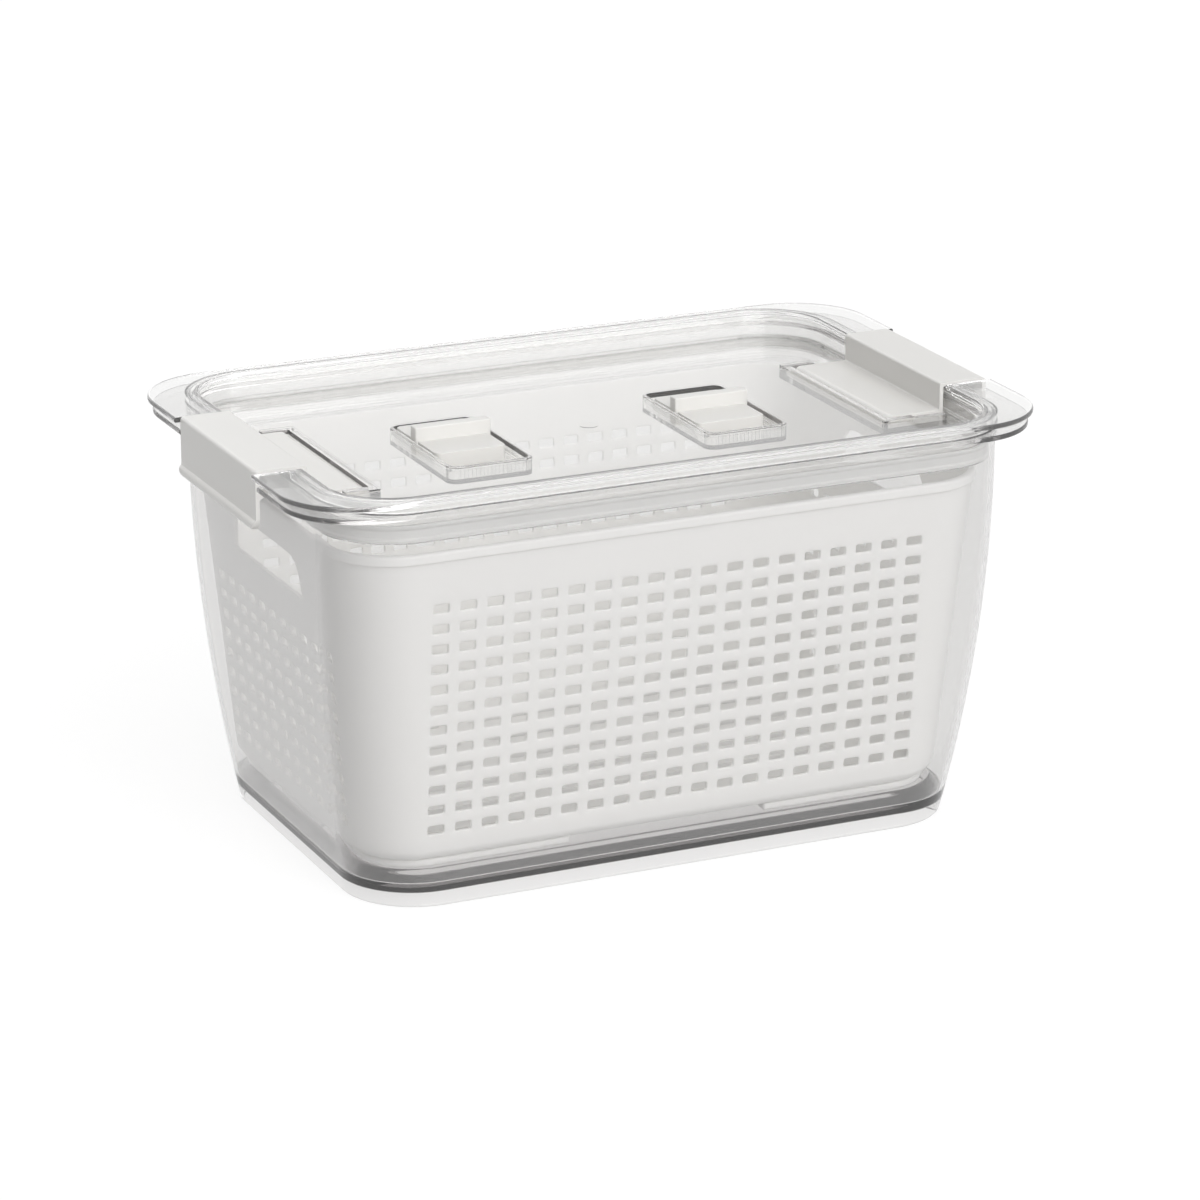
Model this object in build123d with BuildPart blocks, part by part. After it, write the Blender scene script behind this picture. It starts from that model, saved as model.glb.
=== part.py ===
# Fridge storage box: a clear box with a clear lid, a soft seal, two flip latches, two sliding
# vents and a perforated drain basket that stands inside.
# Millimetres. +X runs along the long side, -Y is the front, +Z is up.
# The origin is the centre of the footprint, on the surface that the box stands on.
import os

from build123d import *

os.makedirs("parts", exist_ok=True)

# Clear box: walls that curve up from a smaller foot
FOOT_HALF_X = 126.0
FOOT_HALF_Y = 81.5
BOX_CORNER = 30.0
BOX_HEIGHT = 160.0
BOX_WALL = 2.0
WALL_FLARE = 13.4
WALL_UPRIGHT = 10.0
WALL_STEPS = 5
FOOT_RING_HEIGHT = 6.0
FOOT_RING_WIDTH = 2.6
FOOT_EDGE_RADIUS = 1.2
FLOOR_EDGE_Z = 10.0
FLOOR_RAISED_Z = 13.8
FLOOR_THICK = 3.0
FLOOR_MARGIN = 1.0
FLOOR_RAMP = 4.0

# Flanges of the box and of the lid
BOX_LOBE = 13.6
BOX_LIP = 1.6
FLANGE_CORNER = 30.4
BOX_FLANGE_THICK = 2.0
LID_OVERHANG_X = 2.0
LID_OVERHANG_Y = 0.9
LID_FLANGE_THICK = 2.0
FLANGE_GAP = 3.0

# Lid: plug, recess, panel and the rib that stands on the box's rim
PLUG_GAP = 1.4
PLUG_WALL = 1.5
PLUG_DEPTH = 17.4
RECESS_DEPTH = 11.0
PANEL_THICK = 2.0
SEAT_RIB_INSET = 0.8
SEAT_RIB_WIDTH = 1.6
SEAT_CLEARANCE = 0.2

# Seal round the plug, on a ledge
SEAL_HEIGHT = 6.6
SEAL_BAND = 0.6
SEAL_CLEARANCE = 0.3
SEAL_LIP_HEIGHT = 1.2
SEAL_LIP_COUNT = 2
LEDGE_HEIGHT = 0.6
LEDGE_DEPTH = 0.6

# Latches
LATCH_HALF_WIDTH = 40.0
LATCH_SHEET = 1.6
LATCH_PROUD = 0.6
LATCH_GAP = 1.2
LATCH_CLEARANCE = 0.3
LATCH_EDGE_RADIUS = 1.3
SKIRT_HEIGHT = 23.6
SKIRT_CORNER = 6.0
GRIP_RADIUS = 2.5
GRIP_HALF_WIDTH = 36.0
BARREL_RADIUS = 2.4
PIN_RADIUS = 1.2
PIN_LENGTH = 3.3
PIN_CLEARANCE = 0.1
PIN_END_CLEARANCE = 0.3
CATCH_HALF_WIDTH = 32.0
CATCH_HEIGHT = 2.1
CATCH_TIP_HEIGHT = 1.0
CATCH_CLEARANCE = 0.5
BAR_CLEARANCE = 0.5
NOTCH_DEPTH = 5.4

# Latch pockets in the lid
HINGE_SETBACK = 22.2
POCKET_CLEARANCE = 1.3
POCKET_WALL = 1.6
POCKET_DEPTH = 4.6
RAIL_WIDTH = 3.3
EAR_LENGTH = 14.0
EAR_THICK = 4.2

# Vent wells in the lid
VENT_X = 54.0
WELL_HALF_X = 16.2
WELL_HALF_Y = 30.0
WELL_CORNER = 3.0
WELL_WALL = 1.5
WELL_DEPTH = 6.3
SLOT_LENGTH = 22.0
SLOT_WIDTH = 3.2
SLOT_PITCH = 5.6
SLOT_COUNT = 3
SLOT_MIDDLE_Y = 19.6
RUNNER_DEPTH = 1.2
RUNNER_HEIGHT = 1.0
RUNNER_DROP = 2.8

# Vent sliders
SLIDER_SIDE_GAP = 1.6
SLIDER_LENGTH = 40.6
SLIDER_WALL = 1.4
SLIDER_CORNER = 2.2
SLIDER_CLEARANCE = 0.3
SLIDER_LEFT_Y = 9.4
SLIDER_RIGHT_Y = 4.6
FIN_SIDE_GAP = 0.4
FIN_THICK = 5.0
FIN_HEIGHT = 5.6
FIN_EDGE_RADIUS = 1.5
FIN_LEG = 1.7
BEAD_DEPTH = 0.8
BEAD_HEIGHT = 1.0
BEAD_LIFT = 0.6
BEAD_LENGTH = 24.0

# Basket: tapered walls, standing loose, a little to the left and back
BASKET_SHIFT_X = -1.0
BASKET_SHIFT_Y = 0.8
BASKET_GAP_BOTTOM = 3.4
BASKET_GAP_TOP = 4.1
BASKET_CORNER = 26.0
BASKET_WALL = 1.8
BASKET_HEADROOM = 5.6
BASKET_CLEARANCE = 0.1
BASKET_EDGE_RADIUS = 7.0
RIM_HEIGHT = 4.0
RIM_OVERHANG = 1.0
RIM_CHAMFER = 1.0
FOOT_HEIGHT = 2.5
FOOT_INSET = 3.9
FOOT_WIDTH = 6.0
FOOT_GAP_HALF_X = 41.0
FOOT_GAP_Y = 26.0
FOOT_GAP_WIDTH = 10.0

# Holes of the basket. The real grid is finer, 19 by 12 holes on a long side. This one covers the
# same field with the same open share in fewer, larger holes.
HOLE_WIDTH = 10.4
HOLE_PITCH = 16.1
HOLE_FIRST_Z = 31.3
HOLE_TOP_DROP = 23.9
HOLE_SHARE = 0.5
SIDE_COLUMNS = 13
SIDE_ROWS = 8
END_COLUMNS = 7
END_ROWS = 6
HANDLE_HALF_BOTTOM = 36.0
HANDLE_HALF_TOP = 32.0
HANDLE_DROP = 14.5
HANDLE_HEIGHT = 15.5
HANDLE_RADIUS_BOTTOM = 2.5
HANDLE_RADIUS_TOP = 7.0
DRAIN_LENGTH = 56.0
DRAIN_WIDTH = 4.0
DRAIN_PITCH_X = 68.0
DRAIN_PITCH_Y = 22.0
DRAIN_COLUMNS = 3
DRAIN_ROWS = 6


# Shared shapes. An outline is a rounded rectangle: half length in x, half length in y, corner.
def grow(outline, amount):
    """The outline offset outwards by an amount, or inwards where it is negative."""
    return tuple(size + amount for size in outline)


def section(z, outline, middle=(0, 0)):
    """An outline drawn flat at a height."""
    with BuildSketch(Plane((middle[0], middle[1], z))) as flat:
        RectangleRounded(2 * outline[0], 2 * outline[1], outline[2])
    return flat.sketch


def slab(z_low, z_high, outline, mode=Mode.ADD):
    """A plate of one outline between two heights."""
    extrude(section(z_low, outline), amount=z_high - z_low, mode=mode)


def ring(z_low, z_high, outer, inner):
    """The band between two outlines, between two heights."""
    band = section(z_low, outer) - section(z_low, inner)
    extrude(band, amount=z_high - z_low)


def both_ends(z_low, z_high, x_low, x_high, half_y, mode=Mode.ADD):
    """A block at each end of the box, mirrored across the middle."""
    width = x_high - x_low
    with BuildSketch(Plane.XY.offset(z_low)) as blocks:
        with Locations((x_low + width / 2, 0), (-x_low - width / 2, 0)):
            Rectangle(width, 2 * half_y)
    extrude(blocks.sketch, amount=z_high - z_low, mode=mode)


# Box body
wall_upright_z = BOX_HEIGHT - WALL_UPRIGHT


def wall_outline(z, inset):
    """The wall's outline at a height: an arc that ends upright, outside or inset."""
    below = max(wall_upright_z - z, 0) / wall_upright_z
    flare = WALL_FLARE * (1 - below ** 2)
    return (FOOT_HALF_X + flare - inset, FOOT_HALF_Y + flare - inset, BOX_CORNER - inset)


def wall_loft(z_low, inset, mode=Mode.ADD):
    """The curved stretch of the wall as a loft through outlines at several heights."""
    step = (wall_upright_z - z_low) / WALL_STEPS
    heights = [z_low + step * index for index in range(WALL_STEPS + 1)]
    loft([section(z, wall_outline(z, inset)) for z in heights], mode=mode)


def raised_block(z_low, z_high, outline, mode):
    """A low block with sloping sides."""
    loft([section(z_low, outline), section(z_high, grow(outline, -FLOOR_RAMP))], ruled=True, mode=mode)


box_top = wall_outline(wall_upright_z, 0)
box_inner = wall_outline(wall_upright_z, BOX_WALL)
box_flange = (box_top[0] + BOX_LOBE, box_top[1] + BOX_LIP, FLANGE_CORNER)
box_flange_z = BOX_HEIGHT - BOX_FLANGE_THICK
pocket_half_y = LATCH_HALF_WIDTH + LATCH_GAP
notch_x = box_flange[0] - NOTCH_DEPTH
foot_inner = wall_outline(0, FOOT_RING_WIDTH)

with BuildPart() as box_body:
    wall_loft(0, 0)
    fillet(box_body.faces().sort_by(Axis.Z)[0].edges(), FOOT_EDGE_RADIUS)
    slab(wall_upright_z, BOX_HEIGHT, box_top)
    slab(box_flange_z, BOX_HEIGHT, box_flange)
    both_ends(box_flange_z, BOX_HEIGHT, notch_x, box_flange[0], pocket_half_y, Mode.SUBTRACT)
    wall_loft(FLOOR_EDGE_Z, BOX_WALL, Mode.SUBTRACT)
    slab(wall_upright_z, BOX_HEIGHT, box_inner, Mode.SUBTRACT)
    raised_block(FLOOR_EDGE_Z, FLOOR_RAISED_Z,
                 grow(wall_outline(FLOOR_EDGE_Z, BOX_WALL), -FLOOR_MARGIN), Mode.ADD)
    slab(0, FOOT_RING_HEIGHT, foot_inner, Mode.SUBTRACT)
    raised_block(FOOT_RING_HEIGHT, FLOOR_RAISED_Z - FLOOR_THICK, grow(foot_inner, -FLOOR_MARGIN),
                 Mode.SUBTRACT)
box_body.part.label = "box_body"

# Lid
lid_flange_z = BOX_HEIGHT + FLANGE_GAP
lid_top_z = lid_flange_z + LID_FLANGE_THICK
panel_top_z = lid_top_z - RECESS_DEPTH
panel_z = panel_top_z - PANEL_THICK
plug_bottom_z = lid_top_z - PLUG_DEPTH
seal_z = plug_bottom_z + LEDGE_HEIGHT
seal_top_z = seal_z + SEAL_HEIGHT
lid_outline = (box_flange[0] + LID_OVERHANG_X, box_flange[1] + LID_OVERHANG_Y,
               FLANGE_CORNER + LID_OVERHANG_Y)
plug = grow(box_inner, -PLUG_GAP)
recess = grow(plug, -PLUG_WALL)
latch_top_z = lid_top_z + LATCH_PROUD
plate_top_z = panel_top_z + LATCH_PROUD
hinge_x = recess[0] - HINGE_SETBACK
hinge_z = plate_top_z - BARREL_RADIUS
pocket_x = hinge_x - BARREL_RADIUS - POCKET_CLEARANCE
rail_x = pocket_x - RAIL_WIDTH
well_bottom_z = panel_top_z - WELL_DEPTH


def latch_pockets():
    """A pocket at each end for the latch's plate, with a rail and two ears round the hinge."""
    both_ends(plug_bottom_z, panel_top_z, rail_x, recess[0], pocket_half_y + POCKET_WALL)
    both_ends(plug_bottom_z, plate_top_z, rail_x, rail_x + EAR_LENGTH, pocket_half_y + EAR_THICK)
    both_ends(panel_top_z - POCKET_DEPTH, lid_top_z, pocket_x, recess[0], pocket_half_y,
              Mode.SUBTRACT)


def latch_notches():
    """Gaps where the latches cross the lid's flange, and the lower wall top between them."""
    reach = lid_outline[0] - plug[0]
    both_ends(BOX_HEIGHT, lid_top_z, plug[0], plug[0] + reach, pocket_half_y, Mode.SUBTRACT)
    both_ends(latch_top_z - LATCH_SHEET - BAR_CLEARANCE, lid_top_z, recess[0], plug[0],
              pocket_half_y, Mode.SUBTRACT)


def hinge_holes():
    """Blind holes for the latches' pins."""
    depth = LATCH_HALF_WIDTH + PIN_LENGTH + PIN_END_CLEARANCE
    with BuildSketch(Plane.XZ.offset(-depth)) as holes:
        with Locations((hinge_x, hinge_z), (-hinge_x, hinge_z)):
            Circle(PIN_RADIUS + PIN_CLEARANCE)
    extrude(holes.sketch, amount=2 * depth, mode=Mode.SUBTRACT)


def vent_well(x):
    """A well sunk in the panel, with runners over the slider's beads and air slots."""
    inner = (WELL_HALF_X, WELL_HALF_Y, WELL_CORNER)
    floor_z = well_bottom_z - WELL_WALL
    extrude(section(floor_z, grow(inner, WELL_WALL), (x, 0)), amount=panel_top_z - floor_z)
    extrude(section(well_bottom_z, inner, (x, 0)), amount=WELL_DEPTH, mode=Mode.SUBTRACT)
    runner_z = panel_top_z - RUNNER_DROP - RUNNER_HEIGHT
    with BuildSketch(Plane((x, 0, runner_z))) as runners:
        with GridLocations(2 * WELL_HALF_X - RUNNER_DEPTH, 1, 2, 1):
            Rectangle(RUNNER_DEPTH, 2 * (WELL_HALF_Y - WELL_CORNER))
    extrude(runners.sketch, amount=RUNNER_HEIGHT)
    with BuildSketch(Plane((x, SLOT_MIDDLE_Y, floor_z))) as slots:
        with GridLocations(1, SLOT_PITCH, 1, SLOT_COUNT):
            Rectangle(SLOT_LENGTH, SLOT_WIDTH)
    extrude(slots.sketch, amount=WELL_WALL, mode=Mode.SUBTRACT)


with BuildPart() as lid:
    ring(lid_flange_z, lid_top_z, lid_outline, recess)
    ring(plug_bottom_z, lid_flange_z, plug, recess)
    slab(panel_z, panel_top_z, recess)
    rib_inner = grow(box_inner, SEAT_RIB_INSET)
    ring(BOX_HEIGHT + SEAT_CLEARANCE, lid_flange_z, grow(rib_inner, SEAT_RIB_WIDTH), rib_inner)
    ring(plug_bottom_z, seal_z, grow(plug, LEDGE_DEPTH), recess)
    latch_pockets()
    latch_notches()
    hinge_holes()
    vent_well(-VENT_X)
    vent_well(VENT_X)
lid.part.label = "lid"

# Lid seal: a band on the plug with soft lips towards the box's wall
lip_pitch = (SEAL_HEIGHT - SEAL_LIP_HEIGHT) / (SEAL_LIP_COUNT - 1)
with BuildPart() as lid_seal:
    ring(seal_z, seal_top_z, grow(plug, SEAL_BAND), plug)
    for lip in range(SEAL_LIP_COUNT):
        lip_z = seal_z + lip * lip_pitch
        ring(lip_z, lip_z + SEAL_LIP_HEIGHT, grow(box_inner, -SEAL_CLEARANCE), plug)
lid_seal.part.label = "lid_seal"

# Latches
riser_x = recess[0] - LATCH_CLEARANCE
face_x = box_flange[0]
skirt_x = face_x - LATCH_SHEET
skirt_z = latch_top_z - SKIRT_HEIGHT
catch_z = box_flange_z - CATCH_CLEARANCE
catch_x = notch_x + CATCH_CLEARANCE


def latch_sheet_outline():
    """The bent sheet from the side: plate, riser, top bar and skirt."""
    bar_z = latch_top_z - LATCH_SHEET
    plate_z = plate_top_z - LATCH_SHEET
    Polyline((hinge_x, plate_top_z), (riser_x - LATCH_SHEET, plate_top_z),
             (riser_x - LATCH_SHEET, latch_top_z), (face_x, latch_top_z), (face_x, skirt_z),
             (skirt_x, skirt_z), (skirt_x, bar_z), (riser_x, bar_z), (riser_x, plate_z),
             (hinge_x, plate_z), close=True)


def make_latch(side):
    """One latch: the right one for side 1, the left one for side -1."""
    across = Plane((0, 0, 0), x_dir=(side, 0, 0), z_dir=(0, -side, 0))
    with BuildPart() as latch:
        with BuildSketch(across):
            with BuildLine():
                latch_sheet_outline()
            make_face()
        extrude(amount=LATCH_HALF_WIDTH, both=True)
        bends = latch.edges().filter_by(Axis.Y).group_by(Axis.Z)[-1]
        fillet(bends, LATCH_EDGE_RADIUS)
        skirt_corners = latch.edges().filter_by(Axis.X).group_by(Axis.Z)[0]
        fillet(skirt_corners, SKIRT_CORNER)
        # The barrel, with a pin at each end
        with BuildSketch(across):
            with Locations((hinge_x, hinge_z)):
                Circle(BARREL_RADIUS)
        extrude(amount=LATCH_HALF_WIDTH, both=True)
        with BuildSketch(across):
            with Locations((hinge_x, hinge_z)):
                Circle(PIN_RADIUS)
        extrude(amount=LATCH_HALF_WIDTH + PIN_LENGTH, both=True)
        # The rounded grip along the foot of the skirt
        with BuildSketch(across):
            with Locations((skirt_x, skirt_z + GRIP_RADIUS)):
                Circle(GRIP_RADIUS)
                Rectangle(GRIP_RADIUS, 2 * GRIP_RADIUS, align=(Align.MAX, Align.CENTER),
                          mode=Mode.SUBTRACT)
        extrude(amount=GRIP_HALF_WIDTH, both=True)
        # The catch: a wedge inside the skirt, under the edge of the box's flange
        with BuildSketch(across):
            with BuildLine():
                Polyline((skirt_x, catch_z), (catch_x, catch_z), (catch_x, catch_z - CATCH_TIP_HEIGHT),
                         (skirt_x, catch_z - CATCH_HEIGHT - CATCH_TIP_HEIGHT), close=True)
            make_face()
        extrude(amount=CATCH_HALF_WIDTH, both=True)
    return latch.part


latch_left = make_latch(-1)
latch_left.label = "latch_left"
latch_right = make_latch(1)
latch_right.label = "latch_right"

# Vent sliders
slider = (WELL_HALF_X - SLIDER_SIDE_GAP, SLIDER_LENGTH / 2, SLIDER_CORNER)
slider_z = well_bottom_z + SLIDER_CLEARANCE


def make_slider(x, y):
    """One slider: a low tray turned over, a finger fin across it and two snap beads."""
    with BuildPart() as tray:
        extrude(section(slider_z, slider, (x, y)), amount=panel_top_z - slider_z)
        hollow_height = panel_top_z - SLIDER_WALL - slider_z
        extrude(section(slider_z, grow(slider, -SLIDER_WALL), (x, y)), amount=hollow_height,
                mode=Mode.SUBTRACT)
        fin_half = WELL_HALF_X - FIN_SIDE_GAP
        with BuildSketch(Plane((x, y, panel_top_z - SLIDER_WALL))):
            Rectangle(2 * fin_half, FIN_THICK)
        extrude(amount=SLIDER_WALL + FIN_HEIGHT)
        fillet(tray.faces().sort_by(Axis.Z)[-1].edges().filter_by(Axis.X), FIN_EDGE_RADIUS)
        leg_width = fin_half - slider[0]
        with BuildSketch(Plane((x, y, panel_top_z - FIN_LEG))):
            with GridLocations(2 * fin_half - leg_width, 1, 2, 1):
                Rectangle(leg_width, FIN_THICK)
        extrude(amount=FIN_LEG)
        with BuildSketch(Plane((x, y, slider_z + BEAD_LIFT))):
            with GridLocations(2 * slider[0], 1, 2, 1):
                Rectangle(2 * BEAD_DEPTH, BEAD_LENGTH)
        extrude(amount=BEAD_HEIGHT)
    return tray.part


vent_slider_left = make_slider(-VENT_X, SLIDER_LEFT_Y)
vent_slider_left.label = "vent_slider_left"
vent_slider_right = make_slider(VENT_X, SLIDER_RIGHT_Y)
vent_slider_right.label = "vent_slider_right"

# Basket
basket_middle = (BASKET_SHIFT_X, BASKET_SHIFT_Y)
basket_z = FLOOR_RAISED_Z + BASKET_CLEARANCE + FOOT_HEIGHT
basket_top_z = plug_bottom_z - BASKET_HEADROOM
rim_z = basket_top_z - RIM_HEIGHT
handle_top_z = basket_top_z - HANDLE_DROP
handle_bottom_z = handle_top_z - HANDLE_HEIGHT
hole_pitch_z = (basket_top_z - HOLE_TOP_DROP - HOLE_FIRST_Z) / (SIDE_ROWS - 1)
hole_height = HOLE_SHARE * hole_pitch_z


def basket_outline(z, inset=0):
    """The basket's outline at a height, on straight walls between its foot and its rim."""
    low = wall_outline(basket_z, BOX_WALL)
    high = wall_outline(rim_z, BOX_WALL)
    share = (z - basket_z) / (rim_z - basket_z)
    half_x, half_y = (low[axis] - BASKET_GAP_BOTTOM
                      + share * (high[axis] - BASKET_GAP_TOP - low[axis] + BASKET_GAP_BOTTOM)
                      for axis in (0, 1))
    return grow((half_x, half_y, BASKET_CORNER), -inset)


def basket_block(z_low, z_high, inset):
    """A tapered block, used outside and for the hollow."""
    loft([section(z, basket_outline(z, inset), basket_middle) for z in (z_low, z_high)], ruled=True)


def basket_feet():
    """Feet under the corners and the ends, with gaps between them for the water."""
    outer = basket_outline(basket_z, FOOT_INSET)
    inner = grow(outer, -FOOT_WIDTH)
    with BuildSketch(Plane((BASKET_SHIFT_X, BASKET_SHIFT_Y, basket_z - FOOT_HEIGHT))) as feet:
        RectangleRounded(2 * outer[0], 2 * outer[1], outer[2])
        RectangleRounded(2 * inner[0], 2 * inner[1], inner[2], mode=Mode.SUBTRACT)
        Rectangle(2 * FOOT_GAP_HALF_X, 2 * outer[1], mode=Mode.SUBTRACT)
        with Locations((0, FOOT_GAP_Y), (0, -FOOT_GAP_Y)):
            Rectangle(2 * outer[0], FOOT_GAP_WIDTH, mode=Mode.SUBTRACT)
    extrude(feet.sketch, amount=FOOT_HEIGHT + BASKET_WALL / 2)


def hole_grid(plane, reach, across, columns, rows):
    """A grid of holes through two facing walls."""
    middle_z = HOLE_FIRST_Z + (rows - 1) * hole_pitch_z / 2
    with BuildSketch(plane.offset(-reach)) as holes:
        with Locations((across, middle_z)):
            with GridLocations(HOLE_PITCH, hole_pitch_z, columns, rows):
                Rectangle(HOLE_WIDTH, hole_height)
    extrude(holes.sketch, amount=2 * reach, mode=Mode.SUBTRACT)


def handle_openings():
    """A rounded trapezoid through both end walls, to lift the basket by."""
    with BuildSketch(Plane.YZ.offset(-box_flange[0])) as opening:
        with Locations((BASKET_SHIFT_Y, 0)):
            Polygon((-HANDLE_HALF_BOTTOM, handle_bottom_z), (HANDLE_HALF_BOTTOM, handle_bottom_z),
                    (HANDLE_HALF_TOP, handle_top_z), (-HANDLE_HALF_TOP, handle_top_z), align=None)
        fillet(opening.vertices().group_by(Axis.Y)[-1], HANDLE_RADIUS_TOP)
        fillet(opening.vertices().group_by(Axis.Y)[0], HANDLE_RADIUS_BOTTOM)
    extrude(opening.sketch, amount=2 * box_flange[0], mode=Mode.SUBTRACT)


def drain_slots():
    """Slots in the floor of the basket."""
    with BuildSketch(Plane((BASKET_SHIFT_X, BASKET_SHIFT_Y, basket_z))) as slots:
        with GridLocations(DRAIN_PITCH_X, DRAIN_PITCH_Y, DRAIN_COLUMNS, DRAIN_ROWS):
            Rectangle(DRAIN_LENGTH, DRAIN_WIDTH)
    extrude(slots.sketch, amount=BASKET_WALL, mode=Mode.SUBTRACT)


with BuildPart() as hollow:
    basket_block(basket_z + BASKET_WALL, basket_top_z, BASKET_WALL)
    chamfer(hollow.faces().sort_by(Axis.Z)[0].edges(), BASKET_EDGE_RADIUS - 2 * BASKET_WALL)

with BuildPart() as basket:
    basket_block(basket_z, rim_z, 0)
    fillet(basket.faces().sort_by(Axis.Z)[0].edges(), BASKET_EDGE_RADIUS)
    rim = grow(basket_outline(rim_z), RIM_OVERHANG)
    extrude(section(rim_z, rim, basket_middle), amount=RIM_HEIGHT)
    chamfer(basket.faces().sort_by(Axis.Z)[-1].edges(), RIM_CHAMFER)
    basket_feet()
    add(hollow.part, mode=Mode.SUBTRACT)
    hole_grid(Plane.XZ, box_flange[1], BASKET_SHIFT_X, SIDE_COLUMNS, SIDE_ROWS)
    hole_grid(Plane.YZ, box_flange[0], BASKET_SHIFT_Y, END_COLUMNS, END_ROWS)
    handle_openings()
    drain_slots()
basket.part.label = "basket"

export_step(box_body.part, "parts/box_body.step")
export_step(lid.part, "parts/lid.step")
export_step(lid_seal.part, "parts/lid_seal.step")
export_step(latch_left, "parts/latch_left.step")
export_step(latch_right, "parts/latch_right.step")
export_step(vent_slider_left, "parts/vent_slider_left.step")
export_step(vent_slider_right, "parts/vent_slider_right.step")
export_step(basket.part, "parts/basket.step")
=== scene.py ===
# %% [markdown]
# # A clear storage box with a drain basket
# The real object is moulded plastic: a clear box and lid, white latches and vent covers, a milky
# seal and an off-white basket. This lesson builds a fine mesh for each piece, in the place that
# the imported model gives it, and then finishes the plastics, the light and the camera.
# The frame comes first, because every piece rides on one of its bodies.

# %% Load the frame
import math

import bmesh
import bpy
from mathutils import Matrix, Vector


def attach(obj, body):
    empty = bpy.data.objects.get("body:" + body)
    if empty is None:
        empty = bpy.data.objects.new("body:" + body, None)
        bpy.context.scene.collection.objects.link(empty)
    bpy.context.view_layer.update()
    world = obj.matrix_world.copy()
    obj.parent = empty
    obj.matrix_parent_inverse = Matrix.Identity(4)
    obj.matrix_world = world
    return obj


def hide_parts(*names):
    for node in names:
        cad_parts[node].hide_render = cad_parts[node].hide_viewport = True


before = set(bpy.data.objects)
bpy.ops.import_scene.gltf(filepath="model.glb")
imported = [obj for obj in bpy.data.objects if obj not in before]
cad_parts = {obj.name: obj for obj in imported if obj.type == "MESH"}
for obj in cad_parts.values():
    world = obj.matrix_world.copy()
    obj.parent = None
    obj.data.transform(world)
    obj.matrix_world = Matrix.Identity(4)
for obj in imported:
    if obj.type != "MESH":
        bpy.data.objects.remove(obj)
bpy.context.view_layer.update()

MM = 0.001

# %% [markdown]
# ## The camera
# A camera stands at the photograph's own viewing angle. The lens is long, as in most catalogue
# pictures, so the box keeps its proportions. It is placed by its turn, its tilt and its distance
# from a point near the middle of the box, which is easier to adjust than three coordinates.

# %% Camera
VIEW_TURN = math.radians(-24.72)
VIEW_TILT = math.radians(18.42)
VIEW_DISTANCE = 1926.6 * MM
VIEW_TARGET = Vector((4.9, 0, 82.0)) * MM
LENS_MM = 147.26
SENSOR_MM = 36.0
CLIP_END = 20.0


def add_camera():
    """A camera that looks at the target from the chosen turn, tilt and distance."""
    data = bpy.data.cameras.new("product_camera")
    data.lens = LENS_MM
    data.sensor_width = SENSOR_MM
    data.clip_end = CLIP_END
    camera = bpy.data.objects.new("product_camera", data)
    bpy.context.scene.collection.objects.link(camera)
    flat = math.cos(VIEW_TILT) * VIEW_DISTANCE
    offset = Vector((math.sin(VIEW_TURN) * flat, -math.cos(VIEW_TURN) * flat,
                     math.sin(VIEW_TILT) * VIEW_DISTANCE))
    camera.location = VIEW_TARGET + offset
    camera.rotation_euler = (-offset).to_track_quat("-Z", "Y").to_euler()
    bpy.context.scene.camera = camera
    return camera


product_camera = add_camera()
print("camera at", [round(value, 3) for value in product_camera.location])

# %% [markdown]
# ## Plastics
# Clear plastic is a refracting shader with a very low roughness, which wanders a little. It takes
# some light for each millimetre, so that an edge seen lengthwise goes dark as real plastic does.
# White plastic is opaque, with a little light under its skin and a fine grain, and the thinner
# basket has more of that light. All of it comes from nodes, so it has no image and no seams.


# %% Materials
STRAIGHT_COLOUR = (0.99, 0.99, 0.99)
DEPTH_COLOUR = (0.5, 0.47, 0.48)
TINT_SHADE = 0.97


def new_material(name):
    """A node material with its Principled shader."""
    material = bpy.data.materials.new(name)
    material.use_nodes = True
    return material, material.node_tree, material.node_tree.nodes["Principled BSDF"]


def add_noise(tree, scale, detail):
    """A noise pattern on the object's own coordinates."""
    coordinates = tree.nodes.new("ShaderNodeTexCoord")
    noise = tree.nodes.new("ShaderNodeTexNoise")
    noise.inputs["Scale"].default_value = scale
    noise.inputs["Detail"].default_value = detail
    tree.links.new(coordinates.outputs["Object"], noise.inputs["Vector"])
    return noise


def add_bump(tree, shader, noise, strength, depth):
    """Bump from a noise pattern into a shader."""
    bump = tree.nodes.new("ShaderNodeBump")
    bump.inputs["Strength"].default_value = strength
    bump.inputs["Distance"].default_value = depth
    tree.links.new(noise.outputs["Fac"], bump.inputs["Height"])
    tree.links.new(bump.outputs["Normal"], shader.inputs["Normal"])


def add_roughness(tree, shader, noise, low, high):
    """Roughness that wanders between two values with a noise pattern."""
    spread = tree.nodes.new("ShaderNodeMapRange")
    spread.inputs["To Min"].default_value = low
    spread.inputs["To Max"].default_value = high
    tree.links.new(noise.outputs["Fac"], spread.inputs["Value"])
    tree.links.new(spread.outputs["Result"], shader.inputs["Roughness"])


def let_light_through(tree, shader, colour):
    """Lets lamps and scattered light pass straight through, as a thin clear wall does."""
    path = tree.nodes.new("ShaderNodeLightPath")
    either = tree.nodes.new("ShaderNodeMath")
    either.operation = "MAXIMUM"
    straight = tree.nodes.new("ShaderNodeBsdfTransparent")
    straight.inputs["Color"].default_value = (*colour, 1)
    mix = tree.nodes.new("ShaderNodeMixShader")
    output = tree.nodes["Material Output"]
    tree.links.new(path.outputs["Is Shadow Ray"], either.inputs[0])
    tree.links.new(path.outputs["Is Diffuse Ray"], either.inputs[1])
    tree.links.new(either.outputs[0], mix.inputs["Fac"])
    tree.links.new(shader.outputs["BSDF"], mix.inputs[1])
    tree.links.new(straight.outputs["BSDF"], mix.inputs[2])
    tree.links.new(mix.outputs["Shader"], output.inputs["Surface"])


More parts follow.
